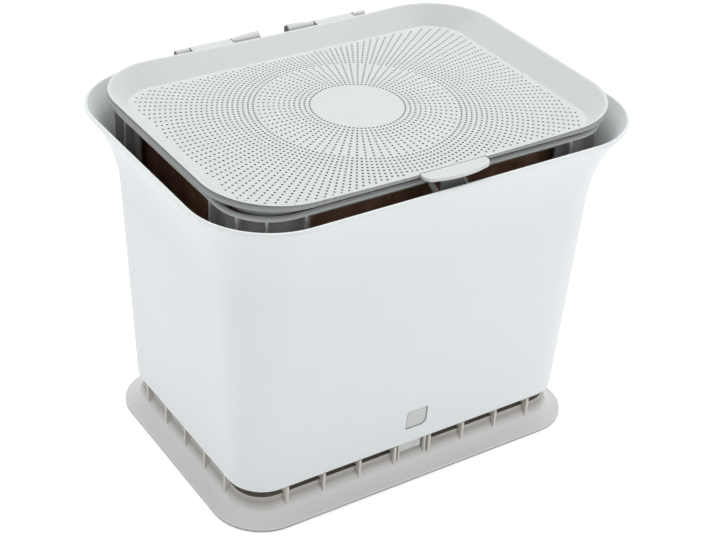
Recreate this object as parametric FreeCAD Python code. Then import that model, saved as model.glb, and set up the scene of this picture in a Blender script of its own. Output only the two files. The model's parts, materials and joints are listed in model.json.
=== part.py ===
import FreeCAD, Part
import math
import os

# Kitchen compost caddy, in millimetres: +Z up, +X along the long side, front towards -Y
# The origin is on the floor, under the middle of the bin

# Plan shared by base, bin, frame and bag: a rectangle of corner axes, widened by a radius u
core_l = 191.5               # corner axis to corner axis along X
core_w = 115.5               # corner axis to corner axis along Y

# Clearances
part_gap = 0.3               # between separate mouldings that sit next to each other
running_fit = 0.05           # radial, a pin in its bore
side_gap = 0.5               # beside a knuckle or a barrel, along its pin
merge = 0.8                  # how far a feature runs into the body that it grows from
cut_over = 5.0               # how far a cutting body runs past what it cuts

# Outer bin
bin_bottom_u = 23.5          # plan radius of its lower edge
bin_lift = 6.2               # lower edge, on the fins, above the base's floor
bin_h = 195.1                # lower edge to the end of the flare, below the rounded rim
bin_draft = 2.9              # degrees
bin_flare_h = 52.3
bin_flare_out = 19.02        # how far the flare runs out
bin_wall = 2.4
bin_edge_round = 2.8         # outside of the turned-in lower edge
bin_lip = 5.0                # reach of the lower edge, from the wall's outer face

# Windows in the bin's front and back for the catch buttons
window_w = 15.4
window_rise = 12.6           # above the bin's lower edge
window_h = 13.9
leaf_round_top = 2.9         # left upper corner of the leaf shape, seen from outside
leaf_round_low = 4.4         # right lower corner
leaf_tight = 0.9             # the other two
button_clear = 0.75
button_recess = 0.5          # behind the bin's outer face

# Base tray
base_edge_out = 8.7          # its edge, outside the bin's lower edge
base_edge_h = 2.2
base_edge_round = 0.8
base_floor_in = 4.5          # where the flare meets the raised floor, inside the bin's lower edge
base_floor_z = 16.0
base_sag = 2.7               # hollow of the flare below its chord
base_wall = 2.2

# Fins of the base
fin_t = 1.6
fin_count_long = 8           # on each long side
fin_count_short = 5          # on each short side
fin_end_long = 5.45          # first fin from the corner axis
fin_end_short = 6.15
fin_in = 1.1                 # outer edge, inside the bin's lower edge
fin_depth = 10.4
fin_foot = 0.6               # reach of the foot past the outer edge
fin_foot_h = 1.2
fin_tongue_h = 7.0           # rise behind the bin's wall
fin_tongue_chamfer = 2.0

# Catches of the base
catch_w = 15.6
catch_in = 3.9               # face of the arm, inside the bin's lower edge
catch_sink = 1.7             # root of the arm, below the base's floor
catch_t = 2.0
catch_over = 2.8             # end of the arm, above its window
catch_slit = 1.1             # room each side, in the base and in the bin's lower edge
catch_room = 0.6             # behind the arm
catch_seat_t = 2.5           # thicker floor under the arm
catch_seat_side = 3.0
catch_seat_l = 6.0
catch_post_t = 1.1           # thin post beside each slit
catch_post_in = 0.6          # its edge, behind the fins' outer edge

# Liner frame
frame_wall_gap = 2.13        # corner walls to the bin's wall, where the flare starts
frame_wall_t = 1.8
frame_wall_reach = 12.0      # along the straight sides, from the corner axis
frame_foot = 11.0            # lower end, above the start of the flare
rib_t = 1.6
rib_offset = 5.9             # side ribs, from the corner axis
corner_ribs = 2              # between the side ribs of one corner
ring_drop = 1.5              # underside of the ring's edge, below the end of the bin's flare
ring_h = 3.6
ring_step = 1.6              # ring's inner edge, outside the inner face of the corner walls
ring_w = 6.2
ring_overhang = 2.6          # edge of the ring past its neck
ring_web_t = 1.0
shelf_in = 0.4               # shelf's edge, inside the corner walls
shelf_drop = 2.8             # top of the shelf, below the underside of the ring's edge
shelf_t = 1.6

# Liner bag
bag_film = 1.0
bag_gap = 0.5                # to the shelf's edge
bag_flange_gap = 0.4         # to the ring
bag_seat = 0.2
bag_bottom_in = 11.5         # foot of its wall, inside the bin's lower edge
bag_floor_gap = 6.8          # above the fins
bag_floor_inset = 3.0        # where the floor takes over from the wall

# Lid
dish_side_gap = 0.8          # dish's floor inside the ring, along the long sides
dish_end_gap = 2.6           # and along the short sides
dish_side_run = 13.55        # dish's floor to the lid's edge, along the long sides
dish_end_run = 14.45
dish_corner = 22.9           # corner radius of the floor
dish_corner_run = 21.6       # more at the lid's edge
dish_lift = 0.7              # dish's floor above the underside of the ring's edge
dish_depth = 10.0            # at the middle of the long sides
lid_rim_rise = 2.6           # rim higher at the short sides
lid_lip = 2.0
lid_wall = 1.8
lid_skirt = 1.9              # skirt below the rim
lid_crown = 4.5
lid_seat = 0.45              # above the frame's ring

# Hinges
hinge_out = 5.9              # pins behind the lid's edge
hinge_drop = 2.5             # below the rim
knuckle_r = 2.8
hinge_pin_r = 1.5
hinge_pin_inset = 2.0        # from the ears' outer ends
inner_ear_x = 10.5
inner_ear_l = 19.2
knuckle_l = 28.4
outer_ear_l = 9.0
hinge_gap = 0.8              # between an ear and a knuckle
hump_r = 4.0
hump_l = 5.0
ear_shell = 0.9              # wall round the hollow ends of the ears
ear_hollow = 3.0
heel_reach = 4.5             # heel of a knuckle, which stops the opened lid
heel_t = 1.8
heel_l = 12.0
stop_y = 2.0                 # face that the heel meets, in front of the pin
stop_t = 2.2
stop_low = 4.9               # underside of the stop, below the pin
stop_h = 1.4

# Press tab, its hook and the keeper
tab_w = 44.0
tab_reach = 9.9              # in front of the lid's edge
tab_inset = 0.8              # back edge, inside the lid's edge
tab_corner = 6.0
tab_bow = 2.2
tab_drop = 0.1               # back edge below the rim
tab_tilt = 0.2               # front edge lower than the back edge
tab_t = 1.8
tab_gap = 0.4
tab_pin_in = 0.1             # pin behind the tab's back edge
tab_pin_drop = 4.0           # and below it
tab_pin_r = 1.0
barrel_r = 1.9
boss_l = 4.0
boss_inset = 6.0             # from the tab's end
boss_half = 1.7
boss_reach = 4.0             # from the pin back to the dish's wall
hook_w = 15.4
hook_out = 1.3               # front face, in front of the tab's back edge
hook_t = 1.6
hook_nose = 1.2
hook_nose_h = 0.9
hook_taper = 2.0
keeper_w = 22.4
keeper_t = 2.2
keeper_bar_t = 1.4
keeper_low = 6.0             # underside of the bar, below the underside of the ring's edge
keeper_h = 2.6
keeper_drop = 2.0            # under the ring, where an arm meets it
keeper_clear = 0.4

V = FreeCAD.Vector
UP = V(0, 0, 1)
ALONG = V(1, 0, 0)
ORIGIN = V(0, 0, 0)

core_x = core_l / 2
core_y = core_w / 2
draft = math.radians(bin_draft)

# Heights that follow from each other, from the base's floor up
bin_bottom_z = base_floor_z + bin_lift
bin_rim_z = bin_bottom_z + bin_h
bin_flare_z = bin_rim_z - bin_flare_h
window_z = bin_bottom_z + window_rise
catch_root_z = base_floor_z - catch_sink
catch_top_z = window_z + window_h + catch_over
frame_bottom_z = bin_flare_z + frame_foot
ring_z = bin_rim_z - ring_drop
shelf_z = ring_z - shelf_drop
bag_bottom_z = bin_bottom_z + fin_tongue_h + bag_floor_gap
lid_floor_z = ring_z + dish_lift
lid_rim_z = lid_floor_z + dish_depth
lid_skirt_z = lid_rim_z - lid_skirt
hinge_z = lid_rim_z - hinge_drop
tab_back_z = lid_rim_z - tab_drop
tab_front_z = tab_back_z - tab_tilt
tab_pin_z = tab_back_z - tab_pin_drop
keeper_z = ring_z - keeper_low

# Plan radii that follow from the bin's lower edge
base_edge_u = bin_bottom_u + base_edge_out
base_floor_u = bin_bottom_u - base_floor_in
fin_u = bin_bottom_u - fin_in
fin_inner_u = fin_u - fin_depth
catch_face_u = bin_bottom_u - catch_in
bag_bottom_u = bin_bottom_u - bag_bottom_in

# Bin wall: a drafted line, then an arc that is tangent to it
normal_u = math.cos(draft)
normal_z = -math.sin(draft)
flare_u = bin_bottom_u + (bin_flare_z - bin_bottom_z) * math.tan(draft)
bin_rim_u = flare_u + bin_flare_out
flare_r = (bin_flare_out ** 2 + bin_flare_h ** 2) / (2 * (bin_flare_out * normal_u + bin_flare_h * normal_z))
flare_cu = flare_u + flare_r * normal_u
flare_cz = bin_flare_z + flare_r * normal_z

# Frame and bag, from the bin's wall where the flare starts
frame_wall_u = flare_u - bin_wall / normal_u - frame_wall_gap - frame_wall_t
shelf_u = frame_wall_u - shelf_in
ring_inner_u = frame_wall_u + ring_step
ring_u = ring_inner_u + ring_w
ring_neck_u = ring_u - ring_overhang
ring_web_u = ring_inner_u + ring_web_t
bag_top_u = shelf_u - bag_gap
bag_flange_u = ring_inner_u - bag_flange_gap

# Lid, from the ring that it sits in
lid_floor_l = core_l + 2 * (ring_inner_u - dish_end_gap)
lid_floor_w = core_w + 2 * (ring_inner_u - dish_side_gap)
lid_l = lid_floor_l + 2 * dish_end_run
lid_w = lid_floor_w + 2 * dish_side_run
lid_corner = dish_corner + dish_corner_run
hinge_y = lid_w / 2 + hinge_out
tab_front_y = lid_w / 2 + tab_reach
tab_back_y = lid_w / 2 - tab_inset
tab_pin_y = tab_back_y - tab_pin_in
hook_y = tab_back_y + hook_out
boss_x = tab_w / 2 - boss_inset - boss_l


def profile(*steps):
    """Closed face in the XZ plane; a step is a point, or a pair: a point on an arc and the arc's end."""
    start = V(steps[0][0], 0, steps[0][1])
    here = start
    edges = []
    for step in steps[1:]:
        if isinstance(step[0], tuple):
            via, end = [V(u, 0, z) for u, z in step]
            edges.append(Part.Arc(here, via, end).toShape())
        else:
            end = V(step[0], 0, step[1])
            edges.append(Part.LineSegment(here, end).toShape())
        here = end
    if not here.isEqual(start, running_fit):
        edges.append(Part.LineSegment(here, start).toShape())
    return Part.Face(Part.Wire(edges))


def joined(shapes):
    """One solid from bodies that run into each other."""
    return shapes[0].multiFuse(shapes[1:]).removeSplitter()


def around(section):
    """A section, u along +X, carried all round the core rectangle."""
    turned = section.rotated(ORIGIN, UP, 90)
    right = section.translated(V(core_x, -core_y, 0)).extrude(V(0, core_w, 0))
    back = turned.translated(V(core_x, core_y, 0)).extrude(V(-core_l, 0, 0))
    corners = []
    for face, x in ((section, core_x), (turned, -core_x)):
        axis = V(x, core_y, 0)
        corners.append(face.translated(axis).revolve(axis, UP, 90))
    half = [right, back] + corners
    return joined(half + [piece.rotated(ORIGIN, UP, 180) for piece in half])


def upright(section, thickness, angle, x, y):
    """A plate cut to a section, standing on the line that runs out from (x, y) at an angle."""
    plate = section.translated(V(0, -thickness / 2, 0)).extrude(V(0, thickness, 0))
    return plate.rotated(ORIGIN, UP, angle).translated(V(x, y, 0))


def slab(points, x, length):
    """A polygon of (y, z) points, run along X from x."""
    loop = [V(x, py, pz) for py, pz in points]
    return Part.Face(Part.makePolygon(loop + loop[:1])).extrude(V(length, 0, 0))


def rod(radius, x, length, y, z):
    """A round bar along X."""
    return Part.makeCylinder(radius, length, V(x, y, z), ALONG)


def corner_points(half_l, half_w, radius):
    """Start, middle and end of the rounded corner at +X +Y."""
    x = half_l - radius
    y = half_w - radius
    reach = radius * math.sqrt(0.5)
    return (half_l, y), (x + reach, y + reach), (x, half_w)


def loop_wire(corner, side_y, z):
    """Closed wire through a corner and its mirror images; side_y is the middle of the long side."""
    start, mid, end = [V(x, y, z) for x, y in corner]
    left = [V(-p.x, p.y, z) for p in (end, mid, start)]
    if math.isclose(side_y, end.y):
        side = Part.LineSegment(end, left[0]).toShape()
    else:
        side = Part.Arc(end, V(0, side_y, z), left[0]).toShape()
    half = [
        Part.LineSegment(V(start.x, -start.y, z), start).toShape(),
        Part.Arc(start, mid, end).toShape(),
        side,
        Part.Arc(*left).toShape(),
    ]
    return Part.Wire(half + [edge.rotated(ORIGIN, UP, 180) for edge in half])


def block(length, width, radius, z, height):
    """An upright block with a rounded rectangular plan."""
    wire = loop_wire(corner_points(length / 2, width / 2, radius), width / 2, z)
    return Part.Face(wire).extrude(V(0, 0, height))


def bin_u(z, inset):
    """Plan radius of the bin's outer face at a height, moved in by an inset."""
    if z < bin_flare_z - inset * normal_z:
        return bin_bottom_u + (z - bin_bottom_z) * math.tan(draft) - inset / math.cos(draft)
    return flare_cu - math.sqrt((flare_r + inset) ** 2 - (z - flare_cz) ** 2)


def bin_z(u, inset):
    """Height in the flare where the inset face has a plan radius."""
    return flare_cz + math.sqrt((flare_r + inset) ** 2 - (flare_cu - u) ** 2)


def leaf(width, z, height, u0, u1):
    """A leaf-shaped prism along +X: two opposite corners round, two tight."""
    y = width / 2
    top = z + height
    corners = ((y, z, leaf_round_low), (y, top, leaf_tight), (-y, top, leaf_round_top), (-y, z, leaf_tight))
    edges = []
    last = None
    first = None
    for cy, cz, r in corners:
        sy = math.copysign(r, cy)
        sz = math.copysign(r, cz - z - height / 2)
        inner = r * (1 - math.sqrt(0.5))
        on_z = V(u0, cy - sy, cz)
        on_y = V(u0, cy, cz - sz)
        via = V(u0, cy - math.copysign(inner, cy), cz - math.copysign(inner, sz))
        enter, leave = (on_z, on_y) if cy * (cz - z - height / 2) < 0 else (on_y, on_z)
        if last:
            edges.append(Part.LineSegment(last, enter).toShape())
        else:
            first = enter
        edges.append(Part.Arc(enter, via, leave).toShape())
        last = leave
    edges.append(Part.LineSegment(last, first).toShape())
    return Part.Face(Part.Wire(edges)).extrude(V(u1 - u0, 0, 0))


def both_sides(shape):
    """A shape at the front, u along +X, and the same at the back."""
    front = shape.rotated(ORIGIN, UP, -90).translated(V(0, -core_y, 0))
    return [front, front.rotated(ORIGIN, UP, 180)]


def make_bin():
    """White sleeve: turned-in lower edge, drafted wall, flare and rounded rim."""
    lip_top = bin_bottom_z + bin_wall
    round_top = bin_bottom_z + bin_edge_round
    corner = bin_edge_round * (1 - math.sqrt(0.5))
    flare_mid = (bin_flare_z + bin_rim_z) / 2
    tilt = math.atan2(flare_cu - bin_rim_u, bin_rim_z - flare_cz)
    inner_rim = (bin_rim_u - bin_wall * math.sin(tilt), bin_rim_z + bin_wall * math.cos(tilt))
    rim_mid = (
        (bin_rim_u + inner_rim[0]) / 2 + bin_wall / 2 * math.cos(tilt),
        (bin_rim_z + inner_rim[1]) / 2 + bin_wall / 2 * math.sin(tilt),
    )
    inner_flare = (flare_u - bin_wall * normal_u, bin_flare_z - bin_wall * normal_z)
    section = profile(
        (bin_bottom_u - bin_lip, bin_bottom_z),
        (bin_bottom_u - bin_edge_round, bin_bottom_z),
        ((bin_bottom_u - corner, bin_bottom_z + corner), (bin_u(round_top, 0), round_top)),
        (flare_u, bin_flare_z),
        ((bin_u(flare_mid, 0), flare_mid), (bin_rim_u, bin_rim_z)),
        (rim_mid, inner_rim),
        ((bin_u(flare_mid, bin_wall), flare_mid), inner_flare),
        (bin_u(lip_top, bin_wall), lip_top),
        (bin_bottom_u - bin_lip, lip_top),
    )
    body = around(section)
    window = leaf(window_w, window_z, window_h, bin_bottom_u - bin_lip, bin_bottom_u + cut_over)
    notch_w = catch_w + 2 * catch_slit
    notch = Part.makeBox(
        bin_lip + cut_over - bin_wall,
        notch_w,
        bin_wall + cut_over,
        V(bin_bottom_u - bin_lip - cut_over, -notch_w / 2, bin_bottom_z - cut_over),
    )
    return body.cut(both_sides(window) + both_sides(notch))


# Flare of the base: an arc that hangs below the chord from its edge to its floor
base_a = (base_edge_u - base_edge_round, base_edge_h)
base_b = (base_floor_u, base_floor_z)
chord = math.dist(base_a, base_b)
base_n = ((base_b[1] - base_a[1]) / chord, (base_a[0] - base_b[0]) / chord)
base_r = (chord ** 2 / 4 + base_sag ** 2) / (2 * base_sag)
base_cu = (base_a[0] + base_b[0]) / 2 + base_n[0] * (base_r - base_sag)
base_cz = (base_a[1] + base_b[1]) / 2 + base_n[1] * (base_r - base_sag)


def base_top(u, depth):
    """Height of the base's flare at a plan radius, a depth under its surface."""
    return base_cz - math.sqrt((base_r + depth) ** 2 - (base_cu - u) ** 2)


def base_u(z, depth):
    """Plan radius of the base's flare at a height, a depth under its surface."""
    return base_cu - math.sqrt((base_r + depth) ** 2 - (z - base_cz) ** 2)


def fin_section():
    """A fin: foot, outer edge, seat for the bin, tongue behind the bin's lower edge."""
    inside = base_wall / 2
    foot_u = fin_u + fin_foot
    foot_z = base_top(foot_u, inside)
    edge_z = base_top(fin_u, 0) + fin_foot_h
    floor_z = base_floor_z - inside
    floor_u = base_u(floor_z, inside)
    mid_u = (foot_u + floor_u) / 2
    tongue_u = bin_bottom_u - bin_lip - part_gap
    tongue_z = bin_bottom_z + fin_tongue_h
    hollow = 1 - math.sqrt(0.5)
    foot_mid = (fin_u + fin_foot * hollow, foot_z + (edge_z - foot_z) * hollow)
    return profile(
        (foot_u, foot_z),
        ((mid_u, base_top(mid_u, inside)), (floor_u, floor_z)),
        (fin_inner_u, floor_z),
        (fin_inner_u, tongue_z),
        (tongue_u - fin_tongue_chamfer, tongue_z),
        (tongue_u, tongue_z - fin_tongue_chamfer),
        (tongue_u, bin_bottom_z),
        (fin_u, bin_bottom_z),
        (fin_u, edge_z),
        (foot_mid, (foot_u, foot_z)),
    )


def make_base():
    """Hollow tray with a flared edge, a raised floor, fins and the two seats of the catches."""
    under_z = base_floor_z - base_wall
    mid_u = (base_a[0] + base_b[0]) / 2
    under_mid = (base_u(0, base_wall) + base_u(under_z, base_wall)) / 2
    corner = base_edge_round * (1 - math.sqrt(0.5))
    section = profile(
        (base_u(0, base_wall), 0),
        (base_edge_u, 0),
        (base_edge_u, base_edge_h - base_edge_round),
        ((base_edge_u - corner, base_edge_h - corner), base_a),
        ((mid_u, base_top(mid_u, 0)), base_b),
        (fin_inner_u / 2, base_floor_z),
        (fin_inner_u / 2, under_z),
        (base_u(under_z, base_wall), under_z),
        ((under_mid, base_top(under_mid, base_wall)), (base_u(0, base_wall), 0)),
    )
    reach = fin_inner_u / 2 + merge
    floor = block(core_l + 2 * reach, core_w + 2 * reach, reach, under_z, base_wall)
    inside = base_wall / 2
    seat_low = under_z - catch_seat_t
    seat_u = base_floor_u - catch_seat_l
    seat = profile(
        (seat_u, base_floor_z - inside),
        (seat_u, seat_low),
        (base_u(seat_low, inside), seat_low),
        (base_u(base_floor_z - inside, inside), base_floor_z - inside),
    )
    seat_w = catch_w + 2 * catch_seat_side
    pieces = [around(section), floor] + both_sides(upright(seat, seat_w, 0, 0, 0))
    fin = fin_section()
    long_run = core_l - 2 * fin_end_long
    short_run = core_w - 2 * fin_end_short
    spots = [(90, (i / (fin_count_long - 1) - 0.5) * long_run) for i in range(fin_count_long)]
    spots += [(0, (i / (fin_count_short - 1) - 0.5) * short_run) for i in range(fin_count_short)]
    for angle, along in spots:
        x, y = (core_x, along) if angle == 0 else (along, core_y)
        plate = upright(fin, fin_t, angle, x, y)
        pieces += [plate, plate.rotated(ORIGIN, UP, 180)]
    pocket_w = catch_w + 2 * catch_slit
    post_u = fin_u - catch_post_in
    post_low = base_top(post_u, inside)
    post = profile(
        (fin_inner_u, post_low),
        (post_u, post_low),
        (post_u, bin_bottom_z),
        (fin_inner_u, bin_bottom_z),
    )
    post_x = (pocket_w + catch_post_t) / 2 + part_gap
    for side in (-post_x, post_x):
        plate = upright(post, catch_post_t, 90, side, core_y)
        pieces += [plate, plate.rotated(ORIGIN, UP, 180)]
    pocket = Part.makeBox(
        catch_t + catch_room + cut_over,
        pocket_w,
        bin_bottom_z - catch_root_z,
        V(catch_face_u - catch_t - catch_room, -pocket_w / 2, catch_root_z - part_gap),
    )
    return joined(pieces).cut(both_sides(pocket))


def make_catches():
    """Sprung arms: seen under the bin's edge, then behind its wall, with a button in its window."""
    back_u = catch_face_u - catch_t
    arm_h = catch_top_z - catch_root_z
    arm = Part.makeBox(catch_t, catch_w, arm_h, V(back_u, -catch_w / 2, catch_root_z))
    low = window_z + button_clear
    height = window_h - 2 * button_clear
    face = profile(
        (back_u, low),
        (bin_u(low, button_recess), low),
        (bin_u(low + height, button_recess), low + height),
        (back_u, low + height),
    )
    button = leaf(window_w - 2 * button_clear, low, height, back_u, bin_bottom_u + cut_over)
    button = button.common(upright(face, window_w, 0, 0, 0))
    return both_sides(joined([arm, button]))


# Dish of the lid: rim curve along X, and the height of the dish wall's underside on the long sides
rim_r = ((lid_l / 2) ** 2 + lid_rim_rise ** 2) / (2 * lid_rim_rise)
dish_top_z = lid_rim_z + lid_rim_rise + 2 * lid_wall
dish_slope = (lid_rim_z - lid_floor_z) / (lid_w / 2 - lid_lip - lid_floor_w / 2)


def dish_under_z(y):
    """Underside of the dish wall in the middle of a long side."""
    return lid_floor_z - lid_wall + (y - lid_floor_w / 2) * dish_slope


def rib_section():
    """A rib: joined to the corner wall and the ring, its outer edge on the bin's flare."""
    inset = bin_wall + part_gap
    root_u = frame_wall_u + frame_wall_t / 2
    shelf_mid = shelf_z - shelf_t / 2
    drop_z = bin_z(ring_u, inset)
    mid_z = (drop_z + frame_bottom_z) / 2
    return profile(
        (root_u, shelf_mid),
        (ring_web_u, shelf_mid),
        (ring_neck_u, ring_z + merge),
        (ring_u, ring_z + merge),
        (ring_u, drop_z),
        ((bin_u(mid_z, inset), mid_z), (bin_u(frame_bottom_z, inset), frame_bottom_z)),
        (root_u, frame_bottom_z),
    )


def corner_wall():
    """Recessed wall round the corner at +X +Y, with its ribs."""
    inner = frame_wall_u
    outer = inner + frame_wall_t
    top_z = shelf_z - shelf_t / 2
    section = profile(
        (inner, frame_bottom_z),
        (outer, frame_bottom_z),
        (outer, top_z),
        (inner, top_z),
    )
    axis = V(core_x, core_y, 0)
    turned = section.rotated(ORIGIN, UP, 90).translated(axis)
    section = section.translated(axis)
    pieces = [
        section.revolve(axis, UP, 90),
        section.extrude(V(0, -frame_wall_reach, 0)),
        turned.extrude(V(-frame_wall_reach, 0, 0)),
    ]
    rib = rib_section()
    pieces.append(upright(rib, rib_t, 0, core_x, core_y - rib_offset))
    pieces.append(upright(rib, rib_t, 90, core_x - rib_offset, core_y))
    for i in range(corner_ribs):
        pieces.append(upright(rib, rib_t, 90 * (i + 1) / (corner_ribs + 1), core_x, core_y))
    return pieces


def make_ear(x, length, humped):
    """Hinge ear of the frame; the inner one has a hump."""
    root_y = core_y + (ring_neck_u + ring_u) / 2
    root_z = ring_z + ring_h / 2
    outline = [
        (root_y, ring_z + part_gap),
        (root_y, root_z),
        (hinge_y - knuckle_r / 2, hinge_z),
        (hinge_y, hinge_z - knuckle_r + part_gap),
        (hinge_y - stop_y, hinge_z - stop_low),
    ]
    pieces = [slab(outline, x, length), rod(knuckle_r, x, length, hinge_y, hinge_z)]
    if humped:
        slope_x = V(x + hump_l, hinge_y, hinge_z)
        pieces.append(rod(hump_r, x, hump_l, hinge_y, hinge_z))
        pieces.append(Part.makeCone(hump_r, knuckle_r, length - hump_l, slope_x, ALONG))
    return pieces


def mirrored(shape):
    """The same shape on the other side of the caddy's middle."""
    return shape.mirror(ORIGIN, ALONG)


outer_ear_x = inner_ear_x + inner_ear_l + knuckle_l + 2 * hinge_gap
hinge_l = outer_ear_x + outer_ear_l - inner_ear_x


def make_frame():
    """Ring, bag shelf, corner walls with ribs, hinge ears and the keeper of the latch."""
    inner_z = dish_under_z(core_y + ring_inner_u) - lid_seat
    shelf_low = shelf_z - shelf_t
    ring = around(profile(
        (ring_u, ring_z),
        (ring_u, ring_z + ring_h),
        (ring_inner_u, inner_z),
        (ring_inner_u, shelf_z),
        (shelf_u, shelf_z),
        (shelf_u, shelf_low),
        (ring_web_u, shelf_low),
        (ring_neck_u, ring_z),
    ))
    half = corner_wall()
    half += [mirrored(piece) for piece in half]
    pieces = [ring] + half + [piece.rotated(ORIGIN, UP, 180) for piece in half]
    stop_back = hinge_y - stop_y
    stop_z = hinge_z - stop_low
    stop_x = inner_ear_x + inner_ear_l - merge
    stop = Part.makeBox(
        outer_ear_x + merge - stop_x, stop_t, stop_h, V(stop_x, stop_back - stop_t, stop_z)
    )
    ears = make_ear(inner_ear_x, inner_ear_l, True) + make_ear(outer_ear_x, outer_ear_l, False) + [stop]
    pieces += ears + [mirrored(piece) for piece in ears]
    front_y = -hook_y - keeper_clear - keeper_bar_t
    root_y = -core_y - (ring_neck_u + ring_u) / 2
    keeper_top = keeper_z + keeper_h
    arm = slab([
        (root_y, ring_z + merge),
        (-core_y - ring_u, ring_z - keeper_drop),
        (front_y + keeper_bar_t, keeper_z),
        (front_y, keeper_z),
        (front_y, keeper_top),
        (root_y, ring_z + ring_h / 2),
    ], keeper_w / 2 - keeper_t, keeper_t)
    bar = Part.makeBox(keeper_w, keeper_bar_t, keeper_h, V(-keeper_w / 2, front_y, keeper_z))
    pieces += [arm, mirrored(arm), bar]
    body = joined(pieces)
    outer_end = inner_ear_x + hinge_l
    cuts = [
        rod(hinge_pin_r + running_fit, inner_ear_x, hinge_l, hinge_y, hinge_z),
        rod(hump_r - ear_shell, inner_ear_x, ear_hollow, hinge_y, hinge_z),
        rod(knuckle_r - ear_shell, outer_end - ear_hollow, ear_hollow, hinge_y, hinge_z),
    ]
    return body.cut(cuts + [mirrored(cut) for cut in cuts])


def make_hinge_pins():
    """One steel pin in each hinge, set back from the ends of the ears."""
    length = hinge_l - 2 * hinge_pin_inset
    right = rod(hinge_pin_r, inner_ear_x + hinge_pin_inset, length, hinge_y, hinge_z)
    return mirrored(right), right


def make_bag():
    """Open liner: a flange on the frame's shelf, walls that taper to a flat floor."""
    top_z = shelf_z + bag_seat
    floor_z = bag_bottom_z + bag_film
    floor_u = bag_bottom_u - bag_floor_inset
    section = profile(
        (bag_top_u, top_z),
        (bag_flange_u, top_z),
        (bag_flange_u, top_z + bag_film),
        (bag_top_u - bag_film, top_z + bag_film),
        (bag_bottom_u - bag_film, floor_z),
        (floor_u, floor_z),
        (floor_u, bag_bottom_z),
        (bag_bottom_u, bag_bottom_z),
    )
    reach = floor_u + merge
    floor = block(core_l + 2 * reach, core_w + 2 * reach, reach, bag_bottom_z, bag_film)
    return joined([around(section), floor])


def rim_height(x):
    """Height of the lid's curved rim."""
    return lid_rim_z + rim_r - math.sqrt(rim_r ** 2 - x ** 2)


def past_rim(floor_point, rim_point):
    """Where the dish wall through two points meets the plane above the rim."""
    k = (dish_top_z - lid_floor_z) / (rim_height(rim_point[0]) - lid_floor_z)
    return tuple(f + k * (r - f) for f, r in zip(floor_point, rim_point))


def make_dish():
    """The hollow of the lid: crowned floor, walls that lean out to the rim."""
    floor_corner = corner_points(lid_floor_l / 2, lid_floor_w / 2, dish_corner)
    rim_corner = corner_points(lid_l / 2 - lid_lip, lid_w / 2 - lid_lip, lid_corner - lid_lip)
    top_corner = [past_rim(f, r) for f, r in zip(floor_corner, rim_corner)]
    top_side = past_rim((0, lid_floor_w / 2), (0, lid_w / 2 - lid_lip))[1]
    floor = loop_wire(floor_corner, lid_floor_w / 2, lid_floor_z)
    top = loop_wire(top_corner, top_side, dish_top_z)
    hollow = Part.makeLoft([floor, top], True, True)
    half_l = lid_floor_l / 2 + lid_lip
    half_w = lid_floor_w / 2 + lid_lip
    surface = Part.BezierSurface()
    surface.increase(2, 2)
    for i in range(3):
        for j in range(3):
            rise = 4 * lid_crown if i == j == 1 else 0
            surface.setPole(i + 1, j + 1, V((i - 1) * half_l, (j - 1) * half_w, lid_floor_z + rise))
    crown = surface.toShape().extrude(V(0, 0, -lid_crown - cut_over))
    return hollow.cut(crown)


def make_lid():
    """Dished lid: curved rim with a skirt, hinge knuckles, a notch and bosses for the press tab."""
    dish = make_dish()
    under = dish.translated(V(0, 0, -lid_wall))
    skirt_h = dish_top_z - lid_skirt_z
    inner = corner_points(lid_l / 2 - lid_wall, lid_w / 2 - lid_wall, lid_corner - lid_wall)
    skirt_hole = Part.Face(loop_wire(inner, lid_w / 2 - lid_wall, lid_skirt_z)).extrude(V(0, 0, skirt_h))
    skirt = block(lid_l, lid_w, lid_corner, lid_skirt_z, skirt_h).cut(skirt_hole)
    low_z = lid_floor_z - lid_wall - cut_over
    plan = block(lid_l, lid_w, lid_corner, low_z, dish_top_z - low_z)
    above = Part.makeCylinder(
        rim_r, lid_w + 2 * cut_over, V(0, -lid_w / 2 - cut_over, lid_rim_z + rim_r), V(0, 1, 0)
    )
    body = under.fuse(skirt).common(plan).cut([dish, above])
    notch_w = tab_w + 2 * tab_gap
    notch = Part.makeBox(
        notch_w,
        cut_over,
        skirt_h + cut_over,
        V(-notch_w / 2, -tab_back_y + part_gap - cut_over, lid_skirt_z - cut_over / 2),
    )
    body = body.cut(notch)
    knuckle_x = inner_ear_x + inner_ear_l + hinge_gap
    arm = slab([
        (lid_w / 2 - lid_wall + merge, lid_skirt_z + part_gap),
        (lid_w / 2 - lid_wall + merge, lid_rim_z - part_gap),
        (hinge_y - knuckle_r / 3, hinge_z + knuckle_r - part_gap),
        (hinge_y - knuckle_r + part_gap, hinge_z - knuckle_r / 3),
    ], knuckle_x, knuckle_l)
    knuckle = rod(knuckle_r, knuckle_x, knuckle_l, hinge_y, hinge_z)
    heel_x = knuckle_x + (knuckle_l - heel_l) / 2
    heel = Part.makeBox(heel_l, heel_reach, heel_t, V(heel_x, hinge_y, hinge_z - heel_t / 2))
    wall_y = tab_pin_y - boss_reach
    boss = slab([
        (-tab_pin_y - boss_half, tab_pin_z - boss_half),
        (-tab_pin_y + boss_half, tab_pin_z - boss_half),
        (-wall_y, dish_under_z(wall_y) + merge),
        (-wall_y - merge, tab_pin_z + boss_half),
        (-tab_pin_y - boss_half, tab_pin_z + boss_half),
    ], boss_x, boss_l)
    added = [arm, knuckle, heel, boss]
    body = joined([body] + added + [mirrored(piece) for piece in added])
    hinge_bore = rod(hinge_pin_r + running_fit, knuckle_x, knuckle_l, hinge_y, hinge_z)
    tab_bore = rod(tab_pin_r + running_fit, boss_x, boss_l, -tab_pin_y, tab_pin_z)
    return body.cut([hinge_bore, mirrored(hinge_bore), tab_bore, mirrored(tab_bore)])


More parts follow.
